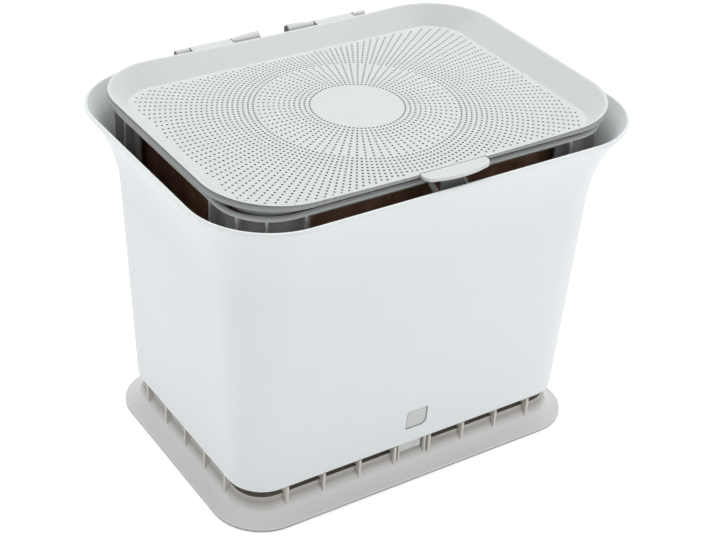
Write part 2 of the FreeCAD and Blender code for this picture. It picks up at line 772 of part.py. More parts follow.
def make_tab():
    """Press tab: a rounded plate in front of the lid, a barrel on its pin and a hook for the keeper."""
    x = tab_w / 2
    side_y = tab_front_y - tab_bow - tab_corner
    edge_y = tab_front_y - tab_bow
    inner = tab_corner * (1 - math.sqrt(0.5))
    outline = [
        Part.LineSegment(V(x, -tab_back_y, 0), V(-x, -tab_back_y, 0)),
        Part.LineSegment(V(-x, -tab_back_y, 0), V(-x, -side_y, 0)),
        Part.Arc(V(-x, -side_y, 0), V(inner - x, inner - edge_y, 0), V(tab_corner - x, -edge_y, 0)),
        Part.Arc(V(tab_corner - x, -edge_y, 0), V(0, -tab_front_y, 0), V(x - tab_corner, -edge_y, 0)),
        Part.Arc(V(x - tab_corner, -edge_y, 0), V(x - inner, inner - edge_y, 0), V(x, -side_y, 0)),
        Part.LineSegment(V(x, -side_y, 0), V(x, -tab_back_y, 0)),
    ]
    plan = Part.Face(Part.Wire([edge.toShape() for edge in outline]))
    plan = plan.extrude(V(0, 0, tab_back_z + cut_over))
    plate = slab([
        (-tab_back_y, tab_back_z),
        (-tab_front_y, tab_front_z),
        (-tab_front_y, tab_front_z - tab_t),
        (-tab_back_y, tab_back_z - tab_t),
    ], -x, tab_w).common(plan)
    barrel_x = boss_x - side_gap
    barrel = rod(barrel_r, -barrel_x, 2 * barrel_x, -tab_pin_y, tab_pin_z)
    web_y = -tab_back_y - hook_t
    web_h = tab_back_z - tab_t / 2 - tab_pin_z
    web = Part.makeBox(2 * barrel_x, hook_t, web_h, V(-barrel_x, web_y, tab_pin_z))
    nose_top = keeper_z - keeper_clear
    hook_low = nose_top - hook_nose_h - hook_taper
    hook = slab([
        (-hook_y, tab_pin_z),
        (-hook_y, nose_top),
        (-hook_y - hook_nose, nose_top),
        (-hook_y - hook_nose, nose_top - hook_nose_h),
        (-hook_y, hook_low),
        (-hook_y + hook_t, hook_low),
        (-hook_y + hook_t, tab_pin_z),
    ], -hook_w / 2, hook_w)
    body = joined([plate, barrel, web, hook])
    return body.cut(rod(tab_pin_r + running_fit, -barrel_x, 2 * barrel_x, -tab_pin_y, tab_pin_z))


def make_tab_pin():
    """Pin of the press tab, held in the lid's bosses."""
    end_x = boss_x + boss_l - side_gap
    return rod(tab_pin_r, -end_x, 2 * end_x, -tab_pin_y, tab_pin_z)


front_catch, rear_catch = make_catches()
left_pin, right_pin = make_hinge_pins()
nodes = {
    "base_tray": make_base(),
    "front_base_catch": front_catch,
    "rear_base_catch": rear_catch,
    "outer_bin": make_bin(),
    "liner_frame": make_frame(),
    "liner_bag": make_bag(),
    "left_hinge_pin": left_pin,
    "right_hinge_pin": right_pin,
    "lid": make_lid(),
    "press_tab": make_tab(),
    "tab_pin": make_tab_pin(),
}
os.makedirs("parts", exist_ok=True)
for name, shape in nodes.items():
    shape.exportStep(os.path.join("parts", name + ".step"))
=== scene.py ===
"""Looks of a kitchen compost caddy: finishes, perforated lid, creased liner, studio.

Every length is in metres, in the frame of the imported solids: +X along the long
side, front towards -Y, the floor at Z = 0.
"""

import json
import logging
import math
from dataclasses import dataclass
from enum import Enum

import bmesh
import bpy
from mathutils import Matrix, Vector, noise

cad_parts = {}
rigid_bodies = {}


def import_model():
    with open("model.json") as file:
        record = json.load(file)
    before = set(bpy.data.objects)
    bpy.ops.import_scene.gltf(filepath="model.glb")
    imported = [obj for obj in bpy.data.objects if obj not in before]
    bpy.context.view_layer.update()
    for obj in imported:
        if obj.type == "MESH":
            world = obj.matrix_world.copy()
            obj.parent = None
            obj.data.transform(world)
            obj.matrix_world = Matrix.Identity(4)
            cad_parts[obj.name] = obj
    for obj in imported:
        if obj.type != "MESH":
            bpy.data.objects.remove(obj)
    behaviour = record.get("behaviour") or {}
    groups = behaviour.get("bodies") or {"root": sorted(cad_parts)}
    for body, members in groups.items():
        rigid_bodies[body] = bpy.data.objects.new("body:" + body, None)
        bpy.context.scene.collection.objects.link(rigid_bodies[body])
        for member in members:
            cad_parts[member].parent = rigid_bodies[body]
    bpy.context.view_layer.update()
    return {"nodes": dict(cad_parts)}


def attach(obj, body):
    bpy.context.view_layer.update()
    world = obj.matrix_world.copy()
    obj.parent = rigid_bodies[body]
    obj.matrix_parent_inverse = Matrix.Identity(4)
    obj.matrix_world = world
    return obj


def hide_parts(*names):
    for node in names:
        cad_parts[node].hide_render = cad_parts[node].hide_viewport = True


LOG = logging.getLogger("caddy")
MM = 0.001
WHITE = (1.0, 1.0, 1.0, 1.0)
HALF = 0.5  # set between whole numbers, so that rounding can't tip a test on them
MERGE_DISTANCE = 1e-6  # points of a solid that are nearer than this are one
NOISE_BAND = (0.3, 0.7)  # where most values of a noise texture lie
MIX_INPUTS = (0, 6, 7)  # a mix node's factor and its two colours
MIX_OUTPUT = 2  # its mixed colour

Colour = tuple[float, float, float]
Point = tuple[float, float, float]
Pair = tuple[float, float]
Socket = bpy.types.NodeSocket
Inputs = dict[str | int, object]


class Body(Enum):
    """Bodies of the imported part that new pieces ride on."""

    FRAME = "frame"
    LID = "lid"


class Slot(Enum):
    """Material slots of the record that new pieces take over."""

    BAG = "bag_film"
    LID = "lid_plastic"


class Finish(Enum):
    """Finishes, by what they are on."""

    BASE = "base"
    CATCH = "catch"
    BIN = "bin"
    FRAME = "frame"
    LID = "lid"
    TAB = "tab"
    BAG = "bag"
    PIN = "pin"


class Facing(Enum):
    """Which faces of a moulding a tint lies on: the lean where it starts, and where it is full.

    The lean is 0 on an upright face, and 1 on a level one that looks up or down.
    """

    ANY = None
    LEVEL = (0.12, 0.35)
    UPRIGHT = (0.2, 0.08)


class Tree:
    """A node tree that is written one line per node."""

    def __init__(self, tree: bpy.types.NodeTree) -> None:
        """Wraps an empty node tree."""
        self.tree = tree

    def fill(self, node: bpy.types.Node, inputs: Inputs) -> None:
        """Fills a node's inputs.

        Args:
            node: the node.
            inputs: socket name or index to a value, or to an output socket to link.
        """
        for key, value in inputs.items():
            if isinstance(value, Socket):
                self.tree.links.new(value, node.inputs[key])
            else:
                node.inputs[key].default_value = value

    def add(self, kind: str, inputs: Inputs | None = None, **settings: object) -> bpy.types.Node:
        """Adds a node, sets its properties and fills its inputs.

        Args:
            kind: the node's type name.
            inputs: socket name or index to a value, or to an output socket to link.
            settings: properties of the node.

        Returns:
            The new node.
        """
        node = self.tree.nodes.new(kind)
        for name, value in settings.items():
            setattr(node, name, value)
        self.fill(node, inputs or {})
        return node

    def math(self, operation: str, *values: object) -> Socket:
        """Adds a maths node on numbers or sockets and gives its result."""
        node = self.add("ShaderNodeMath", dict(enumerate(values)), operation=operation)
        return node.outputs[0]

    def ramp(self, value: Socket, span: Pair, result: Pair = (0.0, 1.0)) -> Socket:
        """Maps a span of values onto another, clamped."""
        node = self.add("ShaderNodeMapRange", dict(enumerate((value, *span, *result))))
        return node.outputs[0]

    def upward(self, vector: Socket) -> Socket:
        """The Z of a vector."""
        return self.add("ShaderNodeSeparateXYZ", {0: vector}).outputs["Z"]

    def noise(self, place: Socket, scale: float, detail: float, **more: float) -> bpy.types.Node:
        """Adds a noise texture; more names its other inputs."""
        inputs = {"Vector": place, "Scale": scale, "Detail": detail, **more}
        return self.add("ShaderNodeTexNoise", inputs)

    def mix(self, factor: object, first: object, second: object) -> Socket:
        """Mixes two colours.

        Args:
            factor: share of the second, a number or a socket.
            first: a colour or a socket.
            second: a colour or a socket.

        Returns:
            The mixed colour's socket.
        """
        node = self.add("ShaderNodeMix", data_type="RGBA")
        self.fill(node, dict(zip(MIX_INPUTS, (factor, first, second))))
        return node.outputs[MIX_OUTPUT]


def new_material(name: str) -> tuple[bpy.types.Material, Tree, bpy.types.Node]:
    """Makes an empty material with a principled shader.

    Args:
        name: the material's name.

    Returns:
        The material, its tree and its shader.
    """
    material = bpy.data.materials.new(name)
    material.use_nodes = True
    material.node_tree.nodes.clear()
    tree = Tree(material.node_tree)
    shader = tree.add("ShaderNodeBsdfPrincipled")
    tree.add("ShaderNodeOutputMaterial", {"Surface": shader.outputs[0]})
    return material, tree, shader


def rgba(colour: Colour, gain: float = 1.0) -> tuple[float, float, float, float]:
    """A linear colour with alpha, made lighter or darker by a gain."""
    return (colour[0] * gain, colour[1] * gain, colour[2] * gain, 1.0)


@dataclass(frozen=True)
class Tint:
    """A second colour that a moulding takes from one height to another: mostly painted shade, and on
    the base's fins a tone of the plastic.
    """

    colour: Colour
    start_z: float
    full_z: float
    facing: Facing = Facing.ANY
    stop_z: float = 1.0
    over_wear: bool = False

    def lay(self, tree: Tree, under: Socket, place: Socket, normal: Socket) -> Socket:
        """Lays the tint over a colour.

        Args:
            tree: the material's tree.
            under: the colour below it.
            place: object coordinates.
            normal: the surface's normal in object space.

        Returns:
            The tinted colour's socket.
        """
        height = tree.upward(place)
        below = tree.math("LESS_THAN", height, self.stop_z)
        share = tree.math("MULTIPLY", below, tree.ramp(height, (self.start_z, self.full_z)))
        if self.facing.value:
            lean = tree.math("ABSOLUTE", tree.upward(normal))
            share = tree.math("MULTIPLY", share, tree.ramp(lean, self.facing.value))
        return tree.mix(share, under, rgba(self.colour))


@dataclass(frozen=True)
class MouldedPlastic:
    """Injection-moulded plastic: faint flow marks, fine grain, paler handled edges."""

    name: str
    colour: Colour
    roughness: float = 0.42
    roughness_spread: float = 0.08
    mottle: float = 0.02
    flow_scale: float = 22.0
    speck_scale: float = 420.0
    speck_band: Pair = (0.58, 0.75)
    speck_share: float = 0.35
    speck_gain: float = 0.97
    grain_size: float = 0.35 * MM
    grain_depth: float = 0.010 * MM
    grain_strength: float = 0.6
    edge_radius: float = 0.45 * MM
    edge_samples: int = 6
    edge_turn: Pair = (0.995, 0.86)  # cosine between the true and the rounded normal
    edge_least: float = 0.5  # wear between the specks
    edge_gain: float = 1.06
    specular: float = 0.4
    tints: tuple[Tint, ...] = ()

    def material(self) -> bpy.types.Material:
        """Builds the material.

        Returns:
            The finished material.
        """
        material, tree, shader = new_material(self.name)
        coords = tree.add("ShaderNodeTexCoord").outputs
        place, normal = coords["Object"], coords["Normal"]
        flow = tree.noise(place, self.flow_scale, detail=3.0, Roughness=0.55).outputs[0]
        specks = tree.noise(place, self.speck_scale, detail=2.0, Roughness=0.6).outputs[0]
        grain = tree.noise(place, 1.0 / self.grain_size, detail=2.0).outputs[0]
        bevel = tree.add("ShaderNodeBevel", {"Radius": self.edge_radius}, samples=self.edge_samples)
        soft = bevel.outputs[0]
        plain = tree.mix(flow, rgba(self.colour, 1 - self.mottle), rgba(self.colour, 1 + self.mottle))
        speckle = tree.ramp(specks, self.speck_band, (0.0, self.speck_share))
        body = tree.mix(speckle, plain, rgba(self.colour, self.speck_gain))
        for tint in (t for t in self.tints if not t.over_wear):
            body = tint.lay(tree, body, place, normal)
        worn = tree.mix(self.wear(tree, soft, specks), body, rgba(self.colour, self.edge_gain))
        for tint in (t for t in self.tints if t.over_wear):
            worn = tint.lay(tree, worn, place, normal)
        spread = (self.roughness - self.roughness_spread, self.roughness + self.roughness_spread)
        relief = {"Height": grain, "Distance": self.grain_depth, "Strength": self.grain_strength}
        bump = tree.add("ShaderNodeBump", {**relief, "Normal": soft})
        looks = {
            "Base Color": worn,
            "Roughness": tree.ramp(flow, NOISE_BAND, spread),
            "Normal": bump.outputs[0],
            "Specular IOR Level": self.specular,
        }
        tree.fill(shader, looks)
        return material

    def wear(self, tree: Tree, soft: Socket, specks: Socket) -> Socket:
        """Share of wear: along the edges, and patchy there.

        Args:
            tree: the material's tree.
            soft: the normal with its edges rounded.
            specks: the fine noise.

        Returns:
            The share's socket.
        """
        true = tree.add("ShaderNodeNewGeometry").outputs["Normal"]
        turned = tree.add("ShaderNodeVectorMath", {0: soft, 1: true}, operation="DOT_PRODUCT")
        edge = tree.ramp(turned.outputs["Value"], self.edge_turn)
        patchy = tree.ramp(specks, NOISE_BAND, (self.edge_least, 1.0))
        return tree.math("MULTIPLY", edge, patchy)


@dataclass(frozen=True)
class LinerFilm:
    """Thin brown compostable film: painted lit and shaded panels, crease lines of painted reflection,
    glossy on its ridges.
    """

    name: str
    colour: Colour
    # colour of the lit panels: painted light
    pale: Colour
    # colour of the crease lines: a painted reflection along the creases
    crease: Colour
    roughness: float = 0.34
    roughness_less: float = 0.06
    roughness_more: float = 0.1
    specular: float = 0.5
    crumple_size: float = 14 * MM
    crumple_depth: float = 0.9 * MM
    crumple_strength: float = 0.8
    fold_scale: float = 95.0
    fold_twist: float = 1.2
    fold_height: float = 0.5
    fibre_scale: float = 1400.0
    fibre_height: float = 0.03
    fibre_band: Pair = (0.55, 0.75)
    fibre_share: float = 0.3
    upright_scale: float = 0.3  # heights count for less, so that marks run upright
    panel_scale: float = 46.0
    line_scale: float = 55.0
    line_width: float = 0.016
    line_share: float = 0.7
    line_band: Pair = (0.5, 0.65)
    raggedness: float = 0.012

    def material(self) -> bpy.types.Material:
        """Builds the material.

        Returns:
            The finished material.
        """
        material, tree, shader = new_material(self.name)
        place = tree.add("ShaderNodeTexCoord").outputs["Object"]
        upright = {"Vector": place, "Scale": (1.0, 1.0, self.upright_scale)}
        tall = tree.add("ShaderNodeMapping", upright).outputs[0]
        folds = tree.noise(place, self.fold_scale, detail=4.0, Distortion=self.fold_twist)
        fibre = tree.noise(place, self.fibre_scale, detail=2.0).outputs[0]
        panels = tree.noise(tall, self.panel_scale, detail=1.0).outputs[0]
        # painted light: dark and lit panels mixed by noise
        lit_and_shaded = tree.mix(tree.ramp(panels, NOISE_BAND), rgba(self.colour), rgba(self.pale))
        # painted reflection along the crease lines
        creased = tree.mix(self.crease_reflection(tree, tall, folds), lit_and_shaded, rgba(self.crease))
        dull = tree.ramp(fibre, self.fibre_band, (0.0, self.fibre_share))
        spread = (self.roughness - self.roughness_less, self.roughness + self.roughness_more)
        relief = {"Distance": self.crumple_depth, "Strength": self.crumple_strength}
        height = self.relief(tree, place, folds.outputs[0], fibre)
        bump = tree.add("ShaderNodeBump", {**relief, "Height": height})
        looks = {
            "Base Color": tree.mix(dull, creased, rgba(self.colour)),
            "Roughness": tree.ramp(fibre, NOISE_BAND, spread),
            "Normal": bump.outputs[0],
            "Specular IOR Level": self.specular,
        }
        tree.fill(shader, looks)
        return material

    def crease_reflection(self, tree: Tree, tall: Socket, folds: bpy.types.Node) -> Socket:
        """Share of ragged crease lines of painted reflection, broken where the film lies smooth.

        Args:
            tree: the material's tree.
            tall: object coordinates, drawn out upwards.
            folds: the noise of the folds.

        Returns:
            The share's socket.
        """
        ragged = {"Vector": tree.mix(self.raggedness, tall, folds.outputs["Color"])}
        cells = {**ragged, "Scale": self.line_scale}
        lines = tree.add("ShaderNodeTexVoronoi", cells, feature="DISTANCE_TO_EDGE")
        line = tree.ramp(lines.outputs["Distance"], (self.line_width, 0.0), (0.0, self.line_share))
        return tree.math("MULTIPLY", line, tree.ramp(folds.outputs[0], self.line_band))

    def relief(self, tree: Tree, place: Socket, folds: Socket, fibre: Socket) -> Socket:
        """Height of the crumpled film: cells, folds on them and fibre on both.

        Args:
            tree: the material's tree.
            place: object coordinates.
            folds: the noise of the folds.
            fibre: the finest noise.

        Returns:
            The height's socket.
        """
        size = {"Vector": place, "Scale": 1.0 / self.crumple_size}
        cells = tree.add("ShaderNodeTexVoronoi", size, feature="SMOOTH_F1").outputs["Distance"]
        folded = tree.math("ADD", cells, tree.math("MULTIPLY", folds, self.fold_height))
        return tree.math("ADD", folded, tree.math("MULTIPLY", fibre, self.fibre_height))


@dataclass(frozen=True)
class TurnedSteel:
    """Bright steel pin stock with fine turning marks."""

    name: str
    colour: Colour = (0.55, 0.55, 0.54)
    roughness: float = 0.28
    roughness_less: float = 0.06
    roughness_more: float = 0.12
    mark_scale: Point = (9000.0, 600.0, 600.0)
    mark_depth: float = 0.004 * MM
    mark_strength: float = 0.5
    stain_scale: float = 260.0
    stain_gains: Pair = (0.85, 1.1)

    def material(self) -> bpy.types.Material:
        """Builds the material.

        Returns:
            The finished material.
        """
        material, tree, shader = new_material(self.name)
        place = tree.add("ShaderNodeTexCoord").outputs["Object"]
        stretched = tree.add("ShaderNodeMapping", {"Vector": place, "Scale": self.mark_scale})
        marks = tree.noise(stretched.outputs[0], scale=1.0, detail=2.0).outputs[0]
        stain = tree.noise(place, self.stain_scale, detail=3.0).outputs[0]
        spread = (self.roughness - self.roughness_less, self.roughness + self.roughness_more)
        relief = {"Height": marks, "Distance": self.mark_depth, "Strength": self.mark_strength}
        looks = {
            "Base Color": tree.mix(stain, *(rgba(self.colour, gain) for gain in self.stain_gains)),
            "Roughness": tree.ramp(marks, NOISE_BAND, spread),
            "Normal": tree.add("ShaderNodeBump", relief).outputs[0],
            "Metallic": 1.0,
        }
        tree.fill(shader, looks)
        return material


@dataclass(frozen=True)
class Finishes:
    """The caddy's finishes; heights of tints run from where they start to where they are full."""

    base: MouldedPlastic = MouldedPlastic(
        "warm_grey_base",
        (0.715, 0.730, 0.720),
        roughness=0.46,
        # paler rounded edges: partly wear, and partly a painted highlight along the base's rounded
        # edges
        edge_gain=1.14,
        tints=(
            # Painted shade along the lowest edge, a warm cream tone on the fins, and painted shade on
            # the raised floor under the bin
            # painted shade: a dark line along the lowest edge's upright face, where the base meets
            # the floor
            Tint((0.33, 0.34, 0.345), 1.5 * MM, 0.8 * MM, Facing.UPRIGHT),
            Tint((0.70, 0.66, 0.60), 3.0 * MM, 5.0 * MM, Facing.UPRIGHT),
            # painted shade, dark brown, on the raised floor under the bin's overhanging edge, laid
            # over the edge wear
            Tint((0.22, 0.185, 0.15), 7.5 * MM, 15.0 * MM, Facing.LEVEL, over_wear=True),
        ),
    )
    catch: MouldedPlastic = MouldedPlastic(
        "grey_catch",
        (0.635, 0.650, 0.645),
        roughness=0.46,
        edge_gain=1.10,
    )
    bin: MouldedPlastic = MouldedPlastic(
        "white_bin",
        (0.835, 0.870, 0.880),
        roughness=0.5,
        mottle=0.008,
        edge_gain=1.03,
        specular=0.2,
    )
    frame: MouldedPlastic = MouldedPlastic(
        "grey_frame",
        (0.640, 0.655, 0.645),
        roughness=0.45,
        edge_gain=1.10,
        tints=(
            # Painted shade on the walls below the ring, and on the ring's upper part under the lid
            Tint((0.34, 0.33, 0.315), 216.0 * MM, 212.0 * MM),
            # painted shade on the ring's upper part, under the lid's skirt
            Tint((0.21, 0.21, 0.205), 216.8 * MM, 219.0 * MM, stop_z=219.6 * MM),
        ),
    )
    tab: MouldedPlastic = MouldedPlastic(
        "pale_grey_tab",
        (0.680, 0.710, 0.705),
        roughness=0.44,
        edge_gain=1.08,
        tints=(
            # Painted shade on the hook under the tab
            Tint((0.26, 0.255, 0.245), 222.5 * MM, 220.0 * MM),
        ),
    )
    lid: MouldedPlastic = MouldedPlastic(
        "pale_grey_lid",
        (0.680, 0.710, 0.705),
        roughness=0.44,
        mottle=0.01,
        edge_gain=1.08,
        tints=(
            # Painted shade on the outer flank, and a painted shadow line under the rim where it rises
            # to the ends
            Tint((0.36, 0.37, 0.365), 235.0 * MM, 230.0 * MM, Facing.UPRIGHT),
            # painted shadow line under the rim
            Tint((0.15, 0.155, 0.15), 225.8 * MM, 228.8 * MM, Facing.UPRIGHT),
        ),
    )
    bag: LinerFilm = LinerFilm(
        "brown_liner",
        colour=(0.262, 0.134, 0.086),
        # pale: the lit panels, painted light
        pale=(0.425, 0.236, 0.155),
        # crease: a painted reflection along the creases
        crease=(0.62, 0.43, 0.32),
    )
    pin: TurnedSteel = TurnedSteel("pin_steel_bright")

    def materials(self) -> dict[Finish, bpy.types.Material]:
        """Builds every material, by finish."""
        return {finish: getattr(self, finish.value).material() for finish in Finish}


@dataclass
class Dresser:
    """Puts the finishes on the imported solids."""

    nodes: dict[str, bpy.types.Object]
    materials: dict[Finish, bpy.types.Material]

    def dress(self, finish: Finish, *names: str) -> None:
        """Gives solids one finish.

        Args:
            finish: the finish.
            names: the solids' nodes.
        """
        for name in names:
            mesh = self.nodes[name].data
            mesh.materials.clear()
            mesh.materials.append(self.materials[finish])
            LOG.info("dressed %s in %s", name, self.materials[finish].name)


@dataclass
class PerforatedLid:
    """Dished lid whose floor has rows of holes, set out on rings round a bare disc."""

    middle: Pair = (-1.86 * MM, -1.48 * MM)
    first_ring: float = 28.40 * MM
    ring_pitch: float = 3.029 * MM
    rings: int = 39
    holes_per_turn: int = 152
    phase: float = 0.206  # of a step, from +X
    doubling_ring: int = 11  # inside it, every other hole is left out
    hole_radius: float = 0.72 * MM
    hole_sides: int = 8
    hole_margin: float = 3.3 * MM  # from the floor's outline
    cutter_depth: float = 9 * MM
    floor_half: Pair = (119.15 * MM, 82.95 * MM)
    floor_corner: float = 22.9 * MM
    floor_z: float = 216.5 * MM
    crown: float = 4.5 * MM
    crown_margin: float = 2 * MM  # the crown ends this far past the floor's outline
    sharp_angle: float = math.radians(28)

    def perforation(self, material: bpy.types.Material) -> bpy.types.NodeTree:
        """Builds the tree that sets out the holes by rule and cuts them.

        Args:
            material: the finish of the cut lid.

        Returns:
            The geometry tree, with a named input for each size.
        """
        group = bpy.data.node_groups.new("lid_perforation", "GeometryNodeTree")
        self.name_inputs(group.interface)
        tree = Tree(group)
        given = tree.add("NodeGroupInput").outputs
        sizes = {
            "Vertices": given["Hole sides"],
            "Radius": given["Hole radius"],
            "Depth": given["Cutter depth"],
        }
        cutter = tree.add("GeometryNodeMeshCylinder", sizes).outputs[0]
        holes = {"Points": self.hole_points(tree, given), "Instance": cutter}
        spread = tree.add("GeometryNodeInstanceOnPoints", holes)
        solid = tree.add("GeometryNodeRealizeInstances", {"Geometry": spread.outputs[0]})
        cut = tree.add(
            "GeometryNodeMeshBoolean",
            {0: given["Geometry"], 1: solid.outputs[0]},
            operation="DIFFERENCE",
            solver="MANIFOLD",
        )
        real = tree.add("GeometryNodeRealizeInstances", {"Geometry": cut.outputs[0]})
        finish = {"Geometry": real.outputs[0], "Material": material}
        dressed = tree.add("GeometryNodeSetMaterial", finish)
        tree.add("NodeGroupOutput", {0: dressed.outputs[0]})
        return group

    def name_inputs(self, face: bpy.types.NodeTreeInterface) -> None:
        """Names the tree's inputs, each with its size as the default, and its output.

        Args:
            face: the tree's interface.
        """
        sizes = {
            "Middle X": self.middle[0],
            "Middle Y": self.middle[1],
            "First ring": self.first_ring,
            "Ring pitch": self.ring_pitch,
            "Rings": self.rings,
            "Holes per turn": self.holes_per_turn,
            "Phase": self.phase,
            "Doubling ring": self.doubling_ring,
            "Hole radius": self.hole_radius,
            "Hole sides": self.hole_sides,
            "Cutter depth": self.cutter_depth,
            "Hole margin": self.hole_margin,
        }
        face.new_socket("Geometry", in_out="INPUT", socket_type="NodeSocketGeometry")
        for name, value in sizes.items():
            kind = "NodeSocketInt" if isinstance(value, int) else "NodeSocketFloat"
            face.new_socket(name, in_out="INPUT", socket_type=kind).default_value = value
        face.new_socket("Geometry", in_out="OUTPUT", socket_type="NodeSocketGeometry")

    def hole_points(self, tree: Tree, given: bpy.types.NodeOutputs) -> Socket:
        """Points of the holes: rings of equal steps, every other hole left out on the inner rings.

        Args:
            tree: the tree to add to.
            given: the tree's inputs.

        Returns:
            The points' socket.
        """
        per_turn = given["Holes per turn"]
        count = tree.math("MULTIPLY", given["Rings"], per_turn)
        points = tree.add("GeometryNodePoints", {"Count": count}).outputs[0]
        index = tree.add("GeometryNodeInputIndex").outputs[0]
        ring = tree.math("FLOOR", tree.math("DIVIDE", tree.math("ADD", index, HALF), per_turn))
        step = tree.math("SUBTRACT", index, tree.math("MULTIPLY", ring, per_turn))
        beyond = tree.math("MULTIPLY", ring, given["Ring pitch"])
        radius = tree.math("ADD", given["First ring"], beyond)
        turned = tree.math("DIVIDE", tree.math("ADD", step, given["Phase"]), per_turn)
        angle = tree.math("MULTIPLY", turned, math.tau)
        x = tree.math("MULTIPLY_ADD", radius, tree.math("COSINE", angle), given["Middle X"])
        y = tree.math("MULTIPLY_ADD", radius, tree.math("SINE", angle), given["Middle Y"])
        spot = tree.add("ShaderNodeCombineXYZ", {0: x, 1: y, 2: self.floor_height(tree, x, y)})
        move = {"Geometry": points, "Position": spot.outputs[0]}
        placed = tree.add("GeometryNodeSetPosition", move).outputs[0]
        inner = tree.math("LESS_THAN", ring, tree.math("SUBTRACT", given["Doubling ring"], HALF))
        odd = tree.math("GREATER_THAN", tree.math("MODULO", step, 2.0), HALF)
        skipped = tree.math("MULTIPLY", inner, odd)
        limit = tree.math("MULTIPLY", given["Hole margin"], -1.0)
        inside = tree.math("LESS_THAN", self.outline_distance(tree, x, y), limit)
        outside = tree.math("SUBTRACT", 1.0, inside)
        dropped = tree.math("GREATER_THAN", tree.math("ADD", skipped, outside), HALF)
        choice = {"Geometry": placed, "Selection": dropped}
        return tree.add("GeometryNodeDeleteGeometry", choice, domain="POINT").outputs[0]

    def outline_distance(self, tree: Tree, x: Socket, y: Socket) -> Socket:
        """Distance outside the floor's rounded rectangle, negative inside.

        Args:
            tree: the tree to add to.
            x: place along X.
            y: place along Y.

        Returns:
            The distance's socket.
        """
        past = []
        for place, half in zip((x, y), self.floor_half):
            straight = half - self.floor_corner
            past.append(tree.math("SUBTRACT", tree.math("ABSOLUTE", place), straight))
        squares = [tree.math("POWER", tree.math("MAXIMUM", out, 0.0), 2.0) for out in past]
        corner = tree.math("SQRT", tree.math("ADD", *squares))
        inside = tree.math("MINIMUM", tree.math("MAXIMUM", *past), 0.0)
        return tree.math("SUBTRACT", tree.math("ADD", corner, inside), self.floor_corner)

    def floor_height(self, tree: Tree, x: Socket, y: Socket) -> Socket:
        """Height of the crowned floor.

        Args:
            tree: the tree to add to.
            x: place along X.
            y: place along Y.

        Returns:
            The height's socket.
        """
        falls = []
        for place, half in zip((x, y), self.floor_half):
            share = tree.math("DIVIDE", place, half + self.crown_margin)
            falls.append(tree.math("SUBTRACT", 1.0, tree.math("MULTIPLY", share, share)))
        return tree.math("MULTIPLY_ADD", tree.math("MULTIPLY", *falls), self.crown, self.floor_z)

    def build(self, node: bpy.types.Object, material: bpy.types.Material) -> None:
        """Cuts the holes in a merged copy of the lid's solid.

        Args:
            node: the lid's solid.
            material: the lid's finish.
        """
        piece = merged_copy(node, "perforated_lid")
        modifier = piece.modifiers.new("perforation", "NODES")
        modifier.node_group = self.perforation(material)
        freeze(piece)
        piece.data.set_sharp_from_angle(angle=self.sharp_angle)
        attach(piece, Body.LID.value)
        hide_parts(node.name)
        LOG.info("perforated lid: %d faces", len(piece.data.polygons))


def merged_copy(node: bpy.types.Object, name: str) -> bpy.types.Object:
    """Copies a solid's mesh with its doubled points merged.

    Args:
        node: the solid.
        name: the copy's name.

    Returns:
        The copy, with no material.
    """
    work = bmesh.new()
    work.from_mesh(node.data)
    bmesh.ops.remove_doubles(work, verts=work.verts, dist=MERGE_DISTANCE)
    mesh = bpy.data.meshes.new(name)
    work.to_mesh(mesh)
    work.free()
    shading = ("custom_normal", "sharp_face", "sharp_edge")
    for attribute in [a for a in mesh.attributes if a.name in shading]:
        mesh.attributes.remove(attribute)
    return linked(name, mesh)


def linked(name: str, mesh: bpy.types.Mesh) -> bpy.types.Object:
    """Puts a mesh in the scene as an object at the origin.

    Args:
        name: the object's name.
        mesh: its mesh.

    Returns:
        The object.
    """
    piece = bpy.data.objects.new(name, mesh)
    bpy.context.scene.collection.objects.link(piece)
    return piece


def freeze(piece: bpy.types.Object) -> None:
    """Turns a piece's modifiers into a plain mesh.

    Args:
        piece: the piece with its modifiers.
    """
    bpy.context.view_layer.update()
    graph = bpy.context.evaluated_depsgraph_get()
    mesh = bpy.data.meshes.new_from_object(piece.evaluated_get(graph))
    piece.modifiers.clear()
    piece.data = mesh


def join_loops(
    work: bmesh.types.BMesh,
    upper: list[bmesh.types.BMVert],
    lower: list[bmesh.types.BMVert],
) -> None:
    """Makes the faces between two loops of as many points.

    Args:
        work: the mesh being made.
        upper: one loop.
        lower: the next.
    """
    for i in range(len(upper)):
        j = (i + 1) % len(upper)
        work.faces.new((upper[i], lower[i], lower[j], upper[j]))


